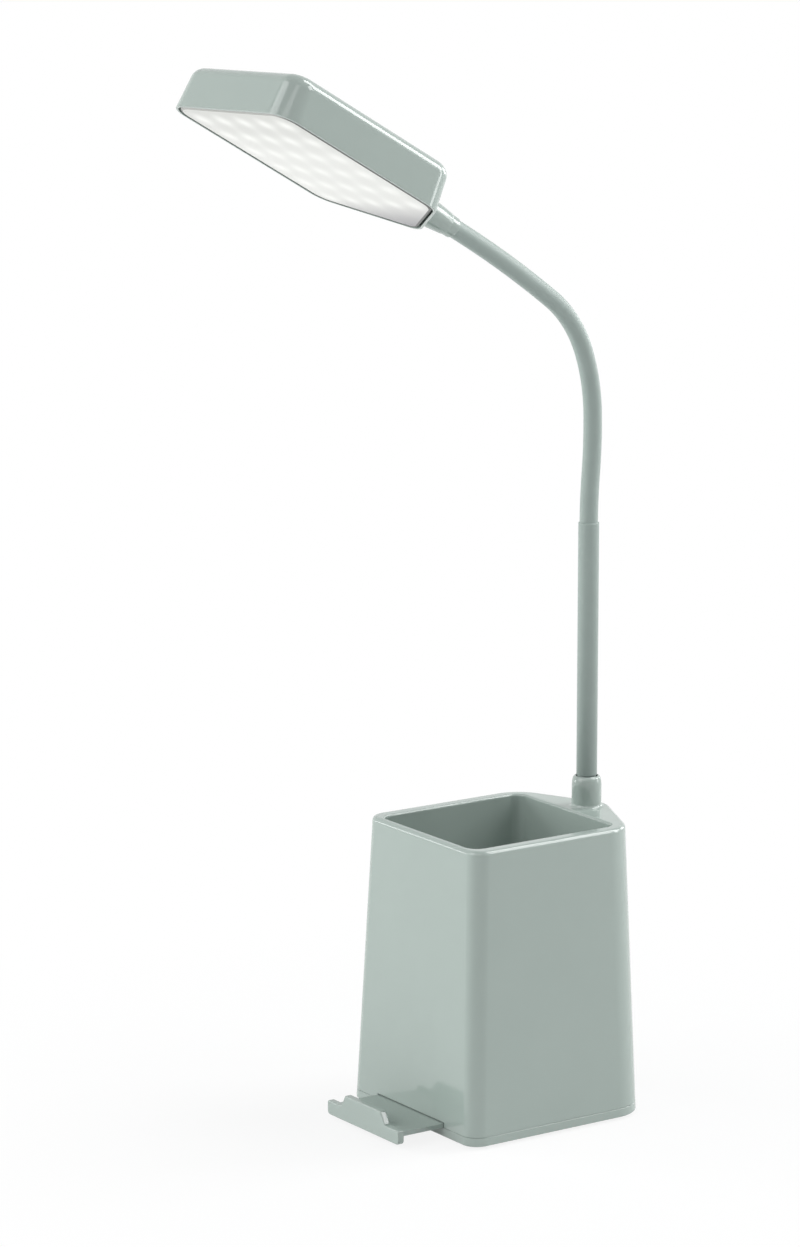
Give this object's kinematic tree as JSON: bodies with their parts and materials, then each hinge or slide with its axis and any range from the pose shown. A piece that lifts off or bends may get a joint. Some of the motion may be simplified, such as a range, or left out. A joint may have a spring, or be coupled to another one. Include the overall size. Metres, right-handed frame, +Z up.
{
  "type": "led table lamp",
  "caption": "Cordless LED table lamp: five-sided pen cup base with a pull-out phone tray, a bendable neck and a flat pointed head.",
  "frame": {"origin": "on the desk, under the middle of the pen cup's opening", "axes": "+Z up, -Y to the lamp's front where the phone tray pulls out, +X to the right as seen from the front"},
  "size_m": [0.093, 0.2013, 0.4358],
  "materials": {
    "sage_plastic": "gloss",
    "sage_silicone": "satin",
    "dark_rubber": "matte",
    "white_plastic": "satin",
    "diffuser_plastic": "satin, translucent",
    "steel": "satin",
    "board_green": "satin",
    "board_aluminium": "white solder mask",
    "cell_wrap": "satin",
    "wire_red": "satin",
    "switch_black": "satin"
  },
  "bodies": {
    "base": {"base_shell": "sage_plastic", "bottom_cover": "sage_plastic", "desk_pad": "dark_rubber", "cover_screw_1": "steel", "cover_screw_2": "steel", "cover_screw_3": "steel", "cover_screw_4": "steel", "tray_carrier": "white_plastic", "carrier_screw_1": "steel", "carrier_screw_2": "steel", "battery_cell": "cell_wrap", "counterweight": "steel", "control_board": "board_green", "board_screw_1": "steel", "board_screw_2": "steel", "usb_socket": "steel", "tact_switch": "switch_black", "lamp_lead": "wire_red", "battery_lead": "wire_red", "neck_stem": "steel", "stem_sleeve": "sage_silicone", "lock_washer": "steel", "neck_nut": "steel", "neck_sleeve_0": "sage_silicone", "neck_core_0": "steel"},
    "tray": {"phone_tray": "sage_plastic"},
    "button": {"power_button": "sage_plastic"},
    "neck_link_1": {"neck_sleeve_1": "sage_silicone", "neck_core_1": "steel"},
    "neck_link_2": {"neck_sleeve_2": "sage_silicone", "neck_core_2": "steel"},
    "neck_link_3": {"neck_sleeve_3": "sage_silicone", "neck_core_3": "steel"},
    "neck_link_4": {"neck_sleeve_4": "sage_silicone", "neck_core_4": "steel"},
    "neck_link_5": {"neck_sleeve_5": "sage_silicone", "neck_core_5": "steel"},
    "neck_link_6": {"neck_sleeve_6": "sage_silicone", "neck_core_6": "steel"},
    "head": {"neck_sleeve_7": "sage_silicone", "neck_core_7": "steel", "head_housing": "sage_plastic", "head_collar": "sage_plastic", "collar_nut": "steel", "diffuser": "diffuser_plastic", "light_board": "board_aluminium", "head_screw_1": "steel", "head_screw_2": "steel", "head_screw_3": "steel", "head_screw_4": "steel", "head_lead": "wire_red"}
  },
  "joints": [
    {"name": "neck_pitch_1", "type": "hinge", "parent": "base", "child": "neck_link_1", "pos_m": [-0.00003, 0.04598, 0.25659], "axis": [0.9976, 0.0698, 0], "range_deg": [-18, 18]},
    {"name": "neck_side_2", "type": "hinge", "parent": "neck_link_1", "child": "neck_link_2", "pos_m": [-0.00012, 0.04714, 0.27705], "axis": [-0.0698, 0.9974, -0.0163], "range_deg": [-18, 18]},
    {"name": "neck_pitch_3", "type": "hinge", "parent": "neck_link_2", "child": "neck_link_3", "pos_m": [-0.00004, 0.04604, 0.29749], "axis": [0.9976, 0.0698, 0], "range_deg": [-18, 18]},
    {"name": "neck_side_4", "type": "hinge", "parent": "neck_link_3", "child": "neck_link_4", "pos_m": [0.00038, 0.04, 0.317], "axis": [-0.0624, 0.8921, 0.4476], "range_deg": [-18, 18]},
    {"name": "neck_pitch_5", "type": "hinge", "parent": "neck_link_4", "child": "neck_link_5", "pos_m": [0.00126, 0.02746, 0.33302], "axis": [0.9976, 0.0698, 0], "range_deg": [-18, 18]},
    {"name": "neck_side_6", "type": "hinge", "parent": "neck_link_5", "child": "neck_link_6", "pos_m": [0.00242, 0.01083, 0.34494], "axis": [-0.039, 0.5584, 0.8287], "range_deg": [-18, 18]},
    {"name": "neck_pitch_7", "type": "hinge", "parent": "neck_link_6", "child": "head", "pos_m": [0.00363, -0.00634, 0.35608], "axis": [0.9976, 0.0698, 0], "range_deg": [-18, 18]},
    {"name": "tray_slide", "type": "slide", "parent": "base", "child": "tray", "axis": [0, 1, 0], "range_m": [0, 0.02]},
    {"name": "button_press", "type": "slide", "parent": "base", "child": "button", "axis": [0.4173, -0.9088, 0], "range_m": [0, 0.0006], "stiffness_N_per_m": 500, "springref_m": -0.001}
  ]
}
